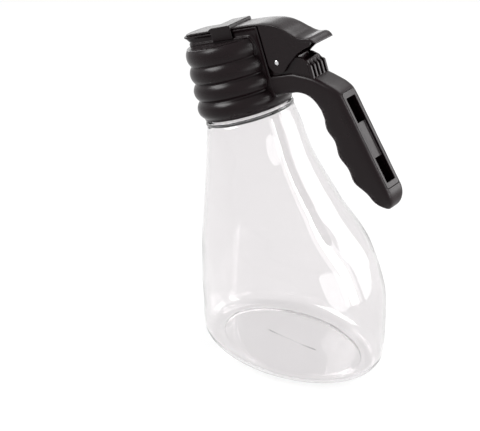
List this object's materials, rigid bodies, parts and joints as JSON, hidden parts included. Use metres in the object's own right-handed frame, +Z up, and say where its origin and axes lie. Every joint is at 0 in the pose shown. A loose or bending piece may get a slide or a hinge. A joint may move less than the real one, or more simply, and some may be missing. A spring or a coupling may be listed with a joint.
{
  "type": "dispensing sauce bottle with flip cap",
  "caption": "Clear teardrop bottle with a black screw cap, spring-closed flip lid, thumb tab and pistol grip, for pouring dressings or sauces with one hand",
  "frame": {"origin": "On the table under the middle of the overall length, in the plane of symmetry", "axes": "+X from the spout back towards the grip, +Y to the left seen from the grip, +Z up"},
  "size_m": [0.1764, 0.109, 0.2464],
  "materials": {
    "clear_plastic": "clear, glossy",
    "black_plastic": "satin moulded",
    "seal_rubber": "soft, matt",
    "pin_steel": "drawn, bright"
  },
  "bodies": {
    "bottle": {"bottle": "clear_plastic"},
    "gasket": {"neck_gasket": "seal_rubber"},
    "cap": {"grip_collar": "black_plastic", "pour_frame": "black_plastic", "handle_cover": "black_plastic", "hinge_pin": "pin_steel", "return_spring": "pin_steel"},
    "lid": {"flip_lid": "black_plastic", "lid_seal": "seal_rubber"}
  },
  "joints": [
    {"name": "cap_rise", "type": "slide", "parent": "bottle", "child": "gasket", "axis": [-0.3469, 0, 0.9379], "range_m": [0, 0.00635]},
    {"name": "cap_turn", "type": "hinge", "parent": "gasket", "child": "cap", "pos_m": [-0.03449, 0, 0.177], "axis": [-0.3469, 0, 0.9379], "range_deg": [0, 450]},
    {"name": "lid_hinge", "type": "hinge", "parent": "cap", "child": "lid", "pos_m": [-0.00365, 0, 0.22103], "axis": [0, 1, 0], "range_deg": [0, 22], "stiffness_Nm_per_rad": 0.1, "springref_deg": -17.19, "deforming": ["return_spring"]}
  ],
  "couplings": [
    {"joint": "cap_rise", "follows": "cap_turn", "m_per_rad": 0.00079577}
  ]
}
